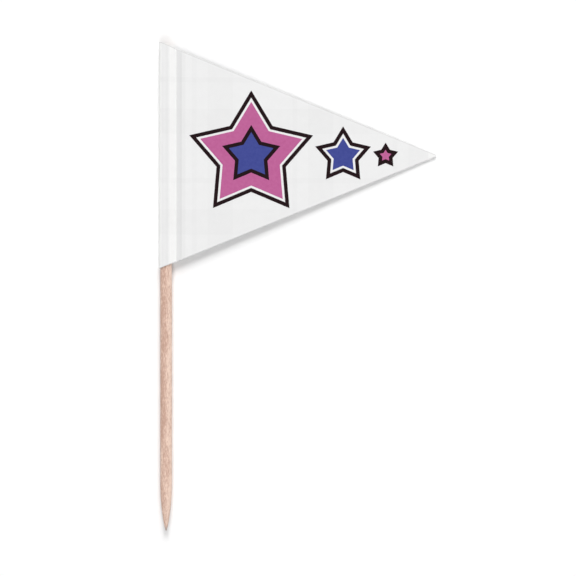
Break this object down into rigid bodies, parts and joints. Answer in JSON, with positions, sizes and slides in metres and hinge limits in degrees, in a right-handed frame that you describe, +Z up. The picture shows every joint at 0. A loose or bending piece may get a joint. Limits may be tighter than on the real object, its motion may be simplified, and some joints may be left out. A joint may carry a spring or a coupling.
{
  "type": "flag toothpick",
  "caption": "Round wooden pick with a long point, and a triangular paper pennant folded round its top and glued to itself, printed with stars on both faces.",
  "frame": {"origin": "middle of the part's box, on the surface that the part lies on", "axes": "+Z up from the surface; +Y along the pick, from its point to its flag end; the pennant points along +X"},
  "size_m": [0.0374, 0.066, 0.0019],
  "materials": {
    "birch": "matte",
    "white_paper": "matte",
    "pink_ink": "satin",
    "blue_ink": "satin",
    "black_ink": "satin"
  },
  "bodies": {
    "root": {"toothpick": "birch", "paper_flag": "white_paper", "pink_print": "pink_ink", "blue_print": "blue_ink", "black_print": "black_ink"}
  },
  "joints": []
}
